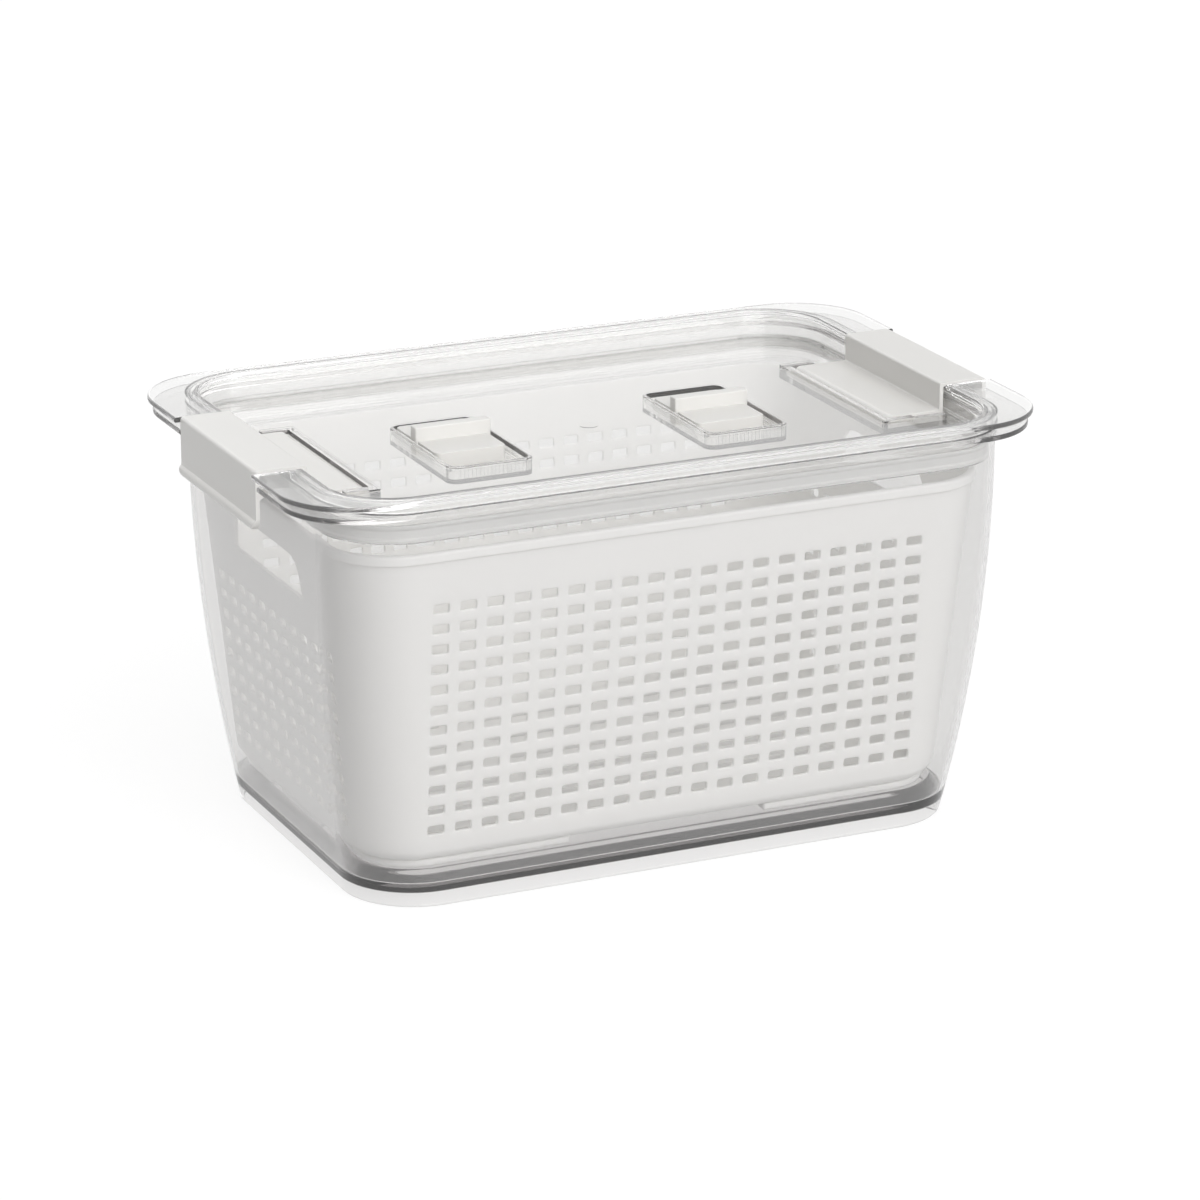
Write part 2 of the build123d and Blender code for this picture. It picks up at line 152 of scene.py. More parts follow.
def darken_with_depth(tree, colour, density):
    """Takes a little light for each millimetre of plastic, so that long ways through it go dark."""
    absorb = tree.nodes.new("ShaderNodeVolumeAbsorption")
    absorb.inputs["Color"].default_value = (*colour, 1)
    absorb.inputs["Density"].default_value = density
    tree.links.new(absorb.outputs["Volume"], tree.nodes["Material Output"].inputs["Volume"])


def clear_plastic(name, colour, low, high, density):
    """Clear moulded plastic."""
    material, tree, shader = new_material(name)
    let_light_through(tree, shader, STRAIGHT_COLOUR)
    darken_with_depth(tree, DEPTH_COLOUR, density)
    shader.inputs["Base Color"].default_value = (*colour, 1)
    shader.inputs["Transmission Weight"].default_value = 0.95
    shader.inputs["IOR"].default_value = 1.49
    add_roughness(tree, shader, add_noise(tree, scale=18, detail=2), low, high)
    return material


def white_plastic(name, colour, low, high, grain, glow):
    """Opaque moulded plastic with a fine grain and slight unevenness in its gloss."""
    material, tree, shader = new_material(name)
    tint = add_noise(tree, scale=9, detail=3)
    mix = tree.nodes.new("ShaderNodeMix")
    mix.data_type = "RGBA"
    mix.inputs["A"].default_value = (*colour, 1)
    mix.inputs["B"].default_value = (*[value * TINT_SHADE for value in colour], 1)
    tree.links.new(tint.outputs["Fac"], mix.inputs["Factor"])
    tree.links.new(mix.outputs["Result"], shader.inputs["Base Color"])
    shader.inputs["IOR"].default_value = 1.46
    shader.inputs["Subsurface Weight"].default_value = glow
    shader.inputs["Subsurface Radius"].default_value = (0.004, 0.004, 0.004)
    shader.inputs["Subsurface Scale"].default_value = 0.8
    add_roughness(tree, shader, tint, low, high)
    fine = add_noise(tree, scale=grain, detail=4)
    add_bump(tree, shader, fine, strength=0.05, depth=0.0002)
    return material


def milky_silicone(name, colour):
    """Soft translucent rubber."""
    material, tree, shader = new_material(name)
    shader.inputs["Base Color"].default_value = (*colour, 1)
    shader.inputs["Transmission Weight"].default_value = 0.35
    shader.inputs["IOR"].default_value = 1.41
    cloud = add_noise(tree, scale=60, detail=3)
    add_roughness(tree, shader, cloud, low=0.4, high=0.55)
    add_bump(tree, shader, cloud, strength=0.05, depth=0.0003)
    return material


CLEAR_BOX = clear_plastic("clear_box_plastic", (0.92, 0.92, 0.913),
                          low=0.005, high=0.02, density=60)
CLEAR_LID = clear_plastic("clear_lid_plastic", (0.96, 0.96, 0.953),
                          low=0.005, high=0.02, density=25)
WHITE = white_plastic("white_plastic", (0.81, 0.8, 0.775),
                      low=0.28, high=0.36, grain=900, glow=0.15)
BASKET_WHITE = white_plastic("basket_plastic", (0.97, 0.957, 0.925),
                             low=0.36, high=0.46, grain=700, glow=0.7)
SILICONE = milky_silicone("seal_silicone", (0.93, 0.93, 0.92))
plastics = (CLEAR_BOX, CLEAR_LID, WHITE, BASKET_WHITE, SILICONE)
print("materials:", [material.name for material in plastics])

# %% [markdown]
# ## Meshes from outlines
# Almost every piece here is a stack of rounded rectangles, as its mould is. One helper draws a
# rounded rectangle, and another joins a stack of them into a closed skin. A profile is written as
# its sharp corners with a radius for each, and the radii are rounded off between them. Points
# near the ends of each straight run keep the flat walls flat when the mesh is shaded smooth.

# %% Outline and skin helpers
CORNER_STEPS = 20
PRISM_STEPS = 8
BEND_STEPS = 4
BEND_SHARE = 0.45
SUPPORT = 1.5
SUPPORT_SHARE = 0.8
JOIN_DISTANCE = 0.002


def grow(outline, amount):
    """A rounded rectangle, given as half length, half width and corner, offset outwards."""
    return tuple(value + amount for value in outline)


def outline_points(outline, z, steps=CORNER_STEPS):
    """Points anticlockwise round a rounded rectangle at a height."""
    half_x, half_y, corner = outline
    support_x = min(SUPPORT, SUPPORT_SHARE * (half_x - corner))
    support_y = min(SUPPORT, SUPPORT_SHARE * (half_y - corner))
    points = []
    for quarter in range(4):
        runs = (support_y, support_x) if quarter % 2 == 0 else (support_x, support_y)
        before_run, after_run = runs
        side_x = 1 if quarter in (0, 3) else -1
        side_y = 1 if quarter in (0, 1) else -1
        middle = Vector((side_x * (half_x - corner), side_y * (half_y - corner), z))
        start = quarter * math.pi / 2
        arc = []
        for step in range(steps + 1):
            angle = start + step * math.pi / 2 / steps
            arc.append(middle + corner * Vector((math.cos(angle), math.sin(angle), 0)))
        before = arc[0] + before_run * Vector((math.sin(start), -math.cos(start), 0))
        last = start + math.pi / 2
        after = arc[-1] + after_run * Vector((-math.sin(last), math.cos(last), 0))
        points += [before, *arc, after]
    return points


def step_towards(here, other, radius):
    """A point a distance from one stop towards another, and short of the middle between them."""
    gap = other - here
    return here + gap * min(radius / math.hypot(gap[0], gap[-1]), BEND_SHARE)


def bend(path):
    """Rounds a path: each stop is (values, radius), and a radius of 0 leaves the stop sharp."""
    rounded = []
    for index, (stop, radius) in enumerate(path):
        here = Vector(stop)
        if radius == 0 or index in (0, len(path) - 1):
            rounded.append(here)
            continue
        start = step_towards(here, Vector(path[index - 1][0]), radius)
        end = step_towards(here, Vector(path[index + 1][0]), radius)
        for step in range(BEND_STEPS + 1):
            t = step / BEND_STEPS
            rounded.append(start * (1 - t) ** 2 + here * 2 * t * (1 - t) + end * t ** 2)
    return rounded


def skin(rings, closed=False):
    """Points and faces of a skin over rings with equal numbers of points."""
    points = [point for ring in rings for point in ring]
    count = len(rings[0])
    pairs = list(zip(range(len(rings) - 1), range(1, len(rings))))
    faces = []
    if closed:
        pairs.append((len(rings) - 1, 0))
    else:
        faces.append(list(range(count))[::-1])
        faces.append([(len(rings) - 1) * count + step for step in range(count)])
    for low, high in pairs:
        for step in range(count):
            after = (step + 1) % count
            faces.append([low * count + step, low * count + after, high * count + after,
                          high * count + step])
    return points, faces


def add_mesh(name, points, faces):
    """An object from points in millimetres, with doubled points joined and normals outwards."""
    mesh = bpy.data.meshes.new(name)
    mesh.from_pydata([Vector(point) * MM for point in points], [], faces)
    work = bmesh.new()
    work.from_mesh(mesh)
    bmesh.ops.remove_doubles(work, verts=work.verts, dist=JOIN_DISTANCE * MM)
    bmesh.ops.recalc_face_normals(work, faces=work.faces)
    work.to_mesh(mesh)
    work.free()
    piece = bpy.data.objects.new(name, mesh)
    bpy.context.scene.collection.objects.link(piece)
    return piece


def stack(name, path, closed=False):
    """An object from a path of (half length, half width, corner, height) stops."""
    rings = [outline_points(stop[:3], stop[3]) for stop in bend(path)]
    return add_mesh(name, *skin(rings, closed))


def apply_modifier(piece, modifier):
    """Bakes one modifier into the piece's mesh."""
    with bpy.context.temp_override(object=piece, active_object=piece):
        bpy.ops.object.modifier_apply(modifier=modifier.name)


def carve(piece, tool, operation="DIFFERENCE"):
    """Joins a tool shape to the piece or cuts it away, then deletes the tool."""
    modifier = piece.modifiers.new("carve", "BOOLEAN")
    modifier.operation = operation
    modifier.solver = "MANIFOLD"
    modifier.object = tool
    apply_modifier(piece, modifier)
    bpy.data.objects.remove(tool)


def soften(piece, width, angle=35):
    """Rounds the sharp edges of a piece a little, as a mould does."""
    modifier = piece.modifiers.new("soften", "BEVEL")
    modifier.width = width * MM
    modifier.segments = 3
    modifier.limit_method = "ANGLE"
    modifier.angle_limit = math.radians(angle)
    apply_modifier(piece, modifier)


def finish_piece(piece, material, body, nodes, sharp=40):
    """Shading, material and place in the frame for a finished mesh."""
    piece.data.shade_smooth()
    piece.data.set_sharp_from_angle(angle=math.radians(sharp))
    modifier = piece.modifiers.new("flat_faces", "WEIGHTED_NORMAL")
    modifier.keep_sharp = True
    apply_modifier(piece, modifier)
    piece.data.materials.clear()
    piece.data.materials.append(material)
    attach(piece, body)
    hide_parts(*nodes)
    print(piece.name, "faces:", len(piece.data.polygons))


# %% [markdown]
# ## The clear box
# The box is one skin: under the floor, round the foot, up the curved wall, round the flange and
# down inside. The wall is an arc that ends upright near the top, so its outline at any height
# comes from one short formula. The two ends of the flange are cut away where the latches hang.
# Every cutting shape reaches a little past the face that it opens.

# %% Box
FOOT = (126.0, 81.5, 30.0)
FOOT_RING_WIDTH = 2.6
FOOT_RING_Z = 6.0
FLAT_INSET = 11.4
ROOF_INSET = 21.4
WALL = 2.0
FLARE = 13.4
UPRIGHT_Z = 150.0
BOX_Z = 160.0
FLANGE_Z = 158.0
FLOOR_EDGE_Z = 10.0
FLOOR_Z = 13.8
FLOOR_THICK = 3.0
RAMP_LOW = 1.0
RAMP_HIGH = 5.0
FLOOR_START = 9.0
WALL_STOPS = 15
STOP_MARGIN = 2.0


def wall_outline(z, inset=0.0):
    """The wall's outline at a height, outside or inset."""
    below = max(UPRIGHT_Z - z, 0) / UPRIGHT_Z
    out = FLARE * (1 - below ** 2)
    return (FOOT[0] + out - inset, FOOT[1] + out - inset, FOOT[2] - inset)


def wall_stops(z_from, z_to, inset):
    """Stops up or down the curved wall."""
    heights = [z_from + (z_to - z_from) * step / WALL_STOPS for step in range(WALL_STOPS + 1)]
    return [((*wall_outline(z, inset), z), 0) for z in heights]


FLANGE = (153.0, 96.5, 30.4)
NOTCH_X = 147.6
NOTCH_HALF_Y = 41.2
NOTCH_REACH = 20.0
NOTCH_CORNER = 3.0
NOTCH_BELOW = 1.5
CUT_PAST = 5


def prism(name, outline, z_low, z_high, middle=(0, 0)):
    """An upright block with rounded corners."""
    rings = [[point + Vector((*middle, 0)) for point in outline_points(outline, z, PRISM_STEPS)]
             for z in (z_low, z_high)]
    return add_mesh(name, *skin(rings))


def make_box():
    """The clear box as one skin, with the notches cut in its flange."""
    under = grow(FOOT, -FOOT_RING_WIDTH)
    path = [((*grow(under, -ROOF_INSET), FLOOR_Z - FLOOR_THICK), 0),
            ((*grow(under, -FLAT_INSET), FOOT_RING_Z), 0.5), ((*under, FOOT_RING_Z), 0.5),
            ((*under, 0.0), 0.4), ((*FOOT, 0.0), 1.2)]
    path += wall_stops(STOP_MARGIN, UPRIGHT_Z, 0)
    path += [((*wall_outline(UPRIGHT_Z), FLANGE_Z), 1.0), ((*FLANGE, FLANGE_Z), 0.7),
             ((*FLANGE, BOX_Z), 0.7), ((*wall_outline(UPRIGHT_Z, WALL), BOX_Z), 0.5)]
    path += wall_stops(UPRIGHT_Z, FLOOR_EDGE_Z + STOP_MARGIN, WALL)
    edge = wall_outline(FLOOR_EDGE_Z, WALL)
    path += [((*edge, FLOOR_EDGE_Z), 0.6), ((*grow(edge, -RAMP_LOW), FLOOR_EDGE_Z), 0.35),
             ((*grow(edge, -RAMP_HIGH), FLOOR_Z), 1.5), ((*grow(edge, -FLOOR_START), FLOOR_Z), 0)]
    box = stack("clear_box", path)
    for side in (-1, 1):
        outline = (NOTCH_REACH, NOTCH_HALF_Y, NOTCH_CORNER)
        carve(box, prism("notch", outline, FLANGE_Z - NOTCH_BELOW, BOX_Z + CUT_PAST,
                         (side * (NOTCH_X + NOTCH_REACH), 0)))
    finish_piece(box, CLEAR_BOX, "box", ["box_body"])


make_box()

# %% [markdown]
# ## The lid
# The lid's plate has a deep recess. Its plug goes down into the box, and a rib under the flange
# stands on the box's rim. The wells for the vents and the pockets for the latches are blocks
# joined to the panel and then hollowed out. All the new sharp edges are softened in one go.
# A hair of 0.01 mm parts faces that would lie in one plane, so that the Boolean cuts hold.

# %% Lid
LID_Z = 165.0
LID_FLANGE_Z = 163.0
PANEL_Z = 154.0
PANEL_UNDER_Z = 152.0
PLUG_Z = 147.6
LID_OUTLINE = (155.0, 97.4, 31.3)
PLUG = grow(wall_outline(UPRIGHT_Z, WALL), -1.4)
RECESS = grow(PLUG, -1.5)
HINGE_X = 112.3
HINGE_Z = 152.2
POCKET_X = 108.6
RAIL_X = 105.3
EAR_Z = 154.6
POCKET_FLOOR_Z = 149.4
VENT_X = 54.0
WELL = (16.2, 30.0, 3.0)
WELL_FLOOR_Z = 147.7
WELL_WALL = 1.5
WELL_RIM = 0.3
RUNNER = (0.9, WELL[1] - 3, 0.3)
RUNNER_IN = 0.3
RUNNER_LOW_Z = PANEL_Z - 3.8
RUNNER_HIGH_Z = PANEL_Z - 2.8
AIR_SLOT = (11.0, 1.6, 1.5)
AIR_SLOT_Y = (14.0, 19.6, 25.2)
RIB_PITCH = 1.6
RIB_COUNT = 18
GROOVE = (RIB_PITCH / 4, 0.5, 0.2)
GATE_MARK = (3.5, 3.5, 3.49)
GATE_MARK_HEIGHT = 0.15
PANEL_INSET = 6
RIM_RIB_OUT = 0.8
RIM_RIB_WIDTH = 1.6
RIM_RIB_Z = BOX_Z + 0.2
LEDGE = 0.6
POCKET_WALL = 1.6
POCKET_LAP = 0.7
POCKET_DROP = 0.1
EAR_LENGTH = 14
EAR_OUT = 4.2
GAP_REACH = 30
GAP_CORNER = 2.5
HAIR = 0.01


def end_block(name, side, x_low, x_high, half_y, z_low, z_high, corner=0.8):
    """A block at one end of the lid."""
    outline = ((x_high - x_low) / 2, half_y, corner)
    return prism(name, outline, z_low, z_high, (side * (x_low + x_high) / 2, 0))


def lid_plate():
    """The plate, recess, plug and rib as one skin."""
    rib = grow(wall_outline(UPRIGHT_Z, WALL), RIM_RIB_OUT)
    rib_outside = grow(rib, RIM_RIB_WIDTH)
    ledge = grow(PLUG, LEDGE)
    panel = grow(RECESS, -PANEL_INSET)
    path = [((*panel, PANEL_Z), 0), ((*RECESS, PANEL_Z), 1.2), ((*RECESS, LID_Z), 1.0),
            ((*LID_OUTLINE, LID_Z), 0.9), ((*LID_OUTLINE, LID_FLANGE_Z), 0.7),
            ((*rib_outside, LID_FLANGE_Z), 0.4), ((*rib_outside, RIM_RIB_Z), 0.4),
            ((*rib, RIM_RIB_Z), 0.4), ((*rib, LID_FLANGE_Z), 0.4), ((*PLUG, LID_FLANGE_Z), 0.6),
            ((*PLUG, PLUG_Z + LEDGE), 0.2), ((*ledge, PLUG_Z + LEDGE), 0.2),
            ((*ledge, PLUG_Z), 0.2), ((*RECESS, PLUG_Z), 0.4),
            ((*RECESS, PANEL_UNDER_Z), 0.8), ((*panel, PANEL_UNDER_Z), 0)]
    return stack("clear_lid", path)


def add_latch_pocket(lid, side):
    """Rail, ears and pocket for one latch, and the gap in the flange above it."""
    half_y = NOTCH_HALF_Y
    top_z = LID_Z + CUT_PAST
    carve(lid, end_block("pocket", side, RAIL_X, RECESS[0] + POCKET_LAP, half_y + POCKET_WALL,
                         PLUG_Z, PANEL_Z - POCKET_DROP), "UNION")
    carve(lid, end_block("ears", side, RAIL_X, RAIL_X + EAR_LENGTH, half_y + EAR_OUT,
                         PLUG_Z - HAIR, EAR_Z), "UNION")
    carve(lid, end_block("space", side, POCKET_X, RECESS[0] - HAIR, half_y,
                         POCKET_FLOOR_Z, top_z, corner=0.5))
    carve(lid, end_block("gap", side, PLUG[0] + HAIR, PLUG[0] + GAP_REACH, half_y,
                         BOX_Z - 1, top_z, GAP_CORNER))
    carve(lid, end_block("wall_top", side, RECESS[0] - 3, PLUG[0] + 3, half_y, LID_Z - 1.5, top_z))


def add_vent_well(lid, x):
    """One well with its runners and air slots."""
    carve(lid, prism("well", grow(WELL, WELL_WALL), WELL_FLOOR_Z - WELL_WALL, PANEL_Z + WELL_RIM,
                     (x, 0)), "UNION")
    carve(lid, prism("hollow", WELL, WELL_FLOOR_Z, PANEL_Z + CUT_PAST, (x, 0)))
    for side in (-1, 1):
        carve(lid, prism("runner", RUNNER, RUNNER_LOW_Z, RUNNER_HIGH_Z,
                         (x + side * (WELL[0] - RUNNER_IN), 0)), "UNION")
    for y in AIR_SLOT_Y:
        carve(lid, prism("slot", AIR_SLOT, WELL_FLOOR_Z - CUT_PAST, WELL_FLOOR_Z + 1, (x, y)))
    for rib in range(RIB_COUNT):
        across = x + (rib - (RIB_COUNT - 1) / 2) * RIB_PITCH
        carve(lid, prism("groove", GROOVE, WELL_FLOOR_Z - 0.5, PANEL_UNDER_Z - 0.3,
                         (across, -WELL[1] - WELL_WALL)))


def make_lid():
    """The clear lid."""
    lid = lid_plate()
    for side in (-1, 1):
        add_latch_pocket(lid, side)
        add_vent_well(lid, side * VENT_X)
    carve(lid, prism("gate_mark", GATE_MARK, PANEL_Z - 0.5, PANEL_Z + GATE_MARK_HEIGHT), "UNION")
    soften(lid, width=0.3)
    finish_piece(lid, CLEAR_LID, "lid", ["lid"])


make_lid()

# %% [markdown]
# ## The seal
# The seal is a soft band on the plug. Two rounded lips lean towards the box's wall. Its section
# is a closed path, so its skin has no caps: the last ring joins the first.

# %% Seal
SEAL_Z = PLUG_Z + LEDGE
SEAL_TOP_Z = SEAL_Z + 6.6
LIP_OUT = 1.1
LIP_HEIGHT = 1.2
LIP_ROOT = 1.8


def make_seal():
    """A closed band with two lips."""
    band = grow(PLUG, LEDGE)
    tip = grow(PLUG, LIP_OUT)
    path = [((*PLUG, SEAL_TOP_Z - 3), 0), ((*PLUG, SEAL_TOP_Z), 0.2), ((*tip, SEAL_TOP_Z), 0.3),
            ((*tip, SEAL_TOP_Z - LIP_HEIGHT), 0.3), ((*band, SEAL_TOP_Z - LIP_ROOT), 0.3),
            ((*band, SEAL_Z + LIP_ROOT), 0.3), ((*tip, SEAL_Z + LIP_HEIGHT), 0.3),
            ((*tip, SEAL_Z), 0.3), ((*PLUG, SEAL_Z), 0.2), ((*PLUG, SEAL_Z + 1), 0)]
    seal = stack("soft_seal", path, closed=True)
    finish_piece(seal, SILICONE, "lid", ["lid_seal"])


make_seal()

# %% [markdown]
# ## Latches
# A latch is one bent sheet: a low plate on a hinge barrel, a riser, a top bar and a skirt with a
# rounded grip. The section is drawn once from the side and pulled across the width. A rounded
# block then trims the lower corners of the skirt.

# %% Latches
LATCH_HALF = 40.0
SHEET = 1.6
LATCH_Z = 165.6
RISER_X = 134.2
FACE_X = 153.0
SKIRT_Z = 142.0
BARREL_RADIUS = 2.4
GRIP_RADIUS = 2.5
CATCH_X = 148.1
CATCH_TOP_Z = 157.5
CATCH_TIP_Z = 156.5
CATCH_FOOT_Z = 154.4
TRIM = (LATCH_HALF + HAIR, 28.0, 6.0)
TRIM_Z = 170
TRIM_X = (100, 160)
TRIM_STEPS = 10


def arc_stops(middle, radius, start, end, steps):
    """Sharp stops along an arc, for a path that passes round it."""
    stops = []
    for step in range(steps + 1):
        angle = math.radians(start + (end - start) * step / steps)
        place = (middle[0] + radius * math.cos(angle), middle[1] + radius * math.sin(angle))
        stops.append((place, 0))
    return stops


def latch_section():
    """The latch from the side, as x and z, anticlockwise."""
    barrel = arc_stops((HINGE_X, HINGE_Z), BARREL_RADIUS, start=90, end=340, steps=16)
    path = [((RISER_X - SHEET, EAR_Z), 0.8)] + barrel
    path += [((RISER_X, EAR_Z - SHEET), 1.0), ((RISER_X, LATCH_Z - SHEET), 0.6),
             ((FACE_X - SHEET, LATCH_Z - SHEET), 0.8), ((FACE_X - SHEET, CATCH_TOP_Z), 0.2),
             ((CATCH_X, CATCH_TOP_Z), 0.3), ((CATCH_X, CATCH_TIP_Z), 0.4),
             ((FACE_X - SHEET, CATCH_FOOT_Z), 0.4), ((FACE_X - SHEET, SKIRT_Z), 0.7)]
    grip = (FACE_X - 1.1, SKIRT_Z + GRIP_RADIUS)
    path += arc_stops(grip, GRIP_RADIUS, start=-80, end=60, steps=9)
    path += [((FACE_X, SKIRT_Z + 5.6), 0.8), ((FACE_X, LATCH_Z), 1.8),
             ((RISER_X - SHEET, LATCH_Z), 1.2), ((RISER_X - SHEET, LATCH_Z - 4), 0)]
    return bend([((RISER_X - SHEET, LATCH_Z - 5), 0)] + path)


def make_latch(name, node, side):
    """One latch, at the right for side 1 and at the left for side -1."""
    section = latch_section()
    rings = [[(side * point.x, y, point.y) for point in section]
             for y in (-LATCH_HALF, LATCH_HALF)]
    latch = add_mesh(name, *skin(rings))
    trim_rings = [[(side * x, point.x, point.y + TRIM_Z)
                   for point in outline_points(TRIM, 0, TRIM_STEPS)] for x in TRIM_X]
    carve(latch, add_mesh("trim", *skin(trim_rings)), "INTERSECT")
    soften(latch, width=0.8)
    finish_piece(latch, WHITE, node, [node])


make_latch("flip_latch_left", "latch_left", -1)
make_latch("flip_latch_right", "latch_right", 1)

# %% [markdown]
# ## Vent sliders
# A slider is a thin tray turned over, with a finger fin across it. The tray and the fin are
# separate closed shapes in one mesh, which is fine for an opaque plastic.

# %% Vent sliders
SLIDER = (14.6, 20.3, 2.2)
SLIDER_FLOOR_Z = WELL_FLOOR_Z + 0.3
SLIDER_WALL = 1.4
FIN = (15.8, 2.5, 0.6)
FIN_SINK = 1.7
FIN_HEIGHT = 5.6


def join(pieces, name):
    """Several objects as one."""
    with bpy.context.temp_override(active_object=pieces[0], selected_editable_objects=pieces):
        bpy.ops.object.join()
    pieces[0].name = name
    return pieces[0]


def make_slider(name, node, body, x, y):
    """One vent slider."""
    tray = prism("tray", SLIDER, SLIDER_FLOOR_Z, PANEL_Z, (x, y))
    carve(tray, prism("hollow", grow(SLIDER, -SLIDER_WALL), SLIDER_FLOOR_Z - CUT_PAST,
                      PANEL_Z - SLIDER_WALL, (x, y)))
    fin = prism("fin", FIN, PANEL_Z - FIN_SINK, PANEL_Z + FIN_HEIGHT, (x, y))
    for part in (tray, fin):
        soften(part, width=0.7)
    slider = join([tray, fin], name)
    finish_piece(slider, WHITE, body, [node])


make_slider("vent_cover_left", "vent_slider_left", "vent_left", x=-VENT_X, y=9.4)
make_slider("vent_cover_right", "vent_slider_right", "vent_right", x=VENT_X, y=4.6)

# %% [markdown]
# ## The basket
# The basket's walls carry hundreds of small holes. Cutting them one by one would be slow and
# untidy, so the wall is built as a grid, where a cell is either a plain face or a face with a
# rounded hole. The outer and the inner skin are joined through each hole.

# %% Basket sizes
SHIFT = Vector((-1.0, 0.8, 0.0))
BASKET_FLOOR = 16.4
BASKET_LOW = (123.4, 78.9, 26.0)
BASKET_HIGH = (133.2, 88.7, 26.0)
BASKET_WALL = 1.8
RIM_Z = 138.0
BASKET_Z = 142.0
PITCH_ACROSS = 10.9
PITCH_Z = 8.1
FIRST_ROW_Z = 30.2
SIDE_COLUMNS = 19
SIDE_ROWS = 12
END_COLUMNS = 11
END_ROWS = 9
HOLE = (3.25, 1.8, 0.9)
CORNER_CELLS = 10
HANDLE_COLUMNS = 7
HANDLE_ROWS = 3
EASE = 0.4


def basket_outline(z, inset=0.0):
    """The basket's outline at a height."""
    share = (z - BASKET_FLOOR) / (RIM_Z - BASKET_FLOOR)
    return tuple(low + (high - low) * share - inset for low, high in zip(BASKET_LOW, BASKET_HIGH))


def along(outline, s):
    """A point on a quarter of an outline, a distance from the middle of the front."""
    half_x, half_y, corner = outline
    run_x = half_x - corner
    run_y = half_y - corner
    arc = corner * math.pi / 2
    if s <= run_x:
        return (s, -half_y)
    if s >= run_x + arc:
        return (half_x, -(run_y - (s - run_x - arc)))
    angle = (s - run_x) / corner
    return (run_x + corner * math.sin(angle), -(run_y + corner * math.cos(angle)))


def reach(run, corner, u):
    """The distance along an outline to the place that stands u from the middle."""
    return u if u <= run else run + corner * math.asin((u - run) / corner)


def quarter_places(outline):
    """Distances of the grid's columns, from the middle of the front to the middle of the end."""
    half_x, half_y, corner = outline
    total = half_x - corner + corner * math.pi / 2 + half_y - corner
    front = [reach(half_x - corner, corner, (column + 0.5) * PITCH_ACROSS)
             for column in range(SIDE_COLUMNS // 2 + 1)]
    end = [total - reach(half_y - corner, corner, (column + 0.5) * PITCH_ACROSS)
           for column in range(END_COLUMNS // 2 + 1)][::-1]
    gap = end[0] - front[-1]
    middle = [front[-1] + gap * step / CORNER_CELLS for step in range(1, CORNER_CELLS)]
    return front + middle + end


def basket_ring(outline, z):
    """A ring of grid points round the basket, anticlockwise from the front's middle column."""
    right_front = [along(outline, s) for s in quarter_places(outline)]
    right_back = [(x, -y) for x, y in reversed(right_front)]
    left_back = [(-x, -y) for x, y in right_front]
    left_front = [(-x, y) for x, y in reversed(right_front)]
    return [Vector((x, y, z)) + SHIFT for x, y in right_front + right_back + left_back + left_front]


FRONT_HALF = SIDE_COLUMNS // 2 + 1
END_HALF = END_COLUMNS // 2 + 1
QUARTER = FRONT_HALF + CORNER_CELLS - 1 + END_HALF
RING_COUNT = 4 * QUARTER
print("points in a ring:", RING_COUNT)

# %% [markdown]
# A hole is a small rounded rectangle. Its rim is eased on both faces of the wall, so it catches
# a soft line of light. Holes are cut straight through, square to the wall's main direction,
# so a point of a hole only needs its place across the wall and its height. The way through the
# wall is four stops, each a depth with the amount by which the opening is wider there.


# %% Basket grid
def wall_depth(outline, u, facing_x):
    """How far out a wall stands at a place across it."""
    half_x, half_y, corner = outline
    run, out = (half_y - corner, half_x) if facing_x else (half_x - corner, half_y)
    beyond = max(abs(u) - run, 0)
    return out - corner + math.sqrt(corner ** 2 - beyond ** 2)


def wall_point(wall, u, z, inset):
    """A point on one of the four walls: across by u, at a height, inset from the outside."""
    depth = wall_depth(basket_outline(z), u, wall in ("right", "left")) - inset
    places = {"front": (u, -depth), "back": (-u, depth),
              "right": (depth, u), "left": (-depth, -u)}
    return Vector((*places[wall], z)) + SHIFT


def hole_outline(half_u, half_z, corner, steps=4):
    """A small rounded rectangle, anticlockwise, in four corner arcs."""
    arcs = []
    for quarter in range(4):
        side_u = 1 if quarter in (0, 3) else -1
        side_z = 1 if quarter in (0, 1) else -1
        arc = []
        for step in range(steps + 1):
            angle = quarter * math.pi / 2 + step * math.pi / 2 / steps
            arc.append((side_u * (half_u - corner) + corner * math.cos(angle),
                        side_z * (half_z - corner) + corner * math.sin(angle)))
        arcs.append(arc)
    return arcs


THROUGH_STOPS = ((0.0, EASE), (EASE, 0.0), (BASKET_WALL - EASE, 0.0), (BASKET_WALL, EASE))


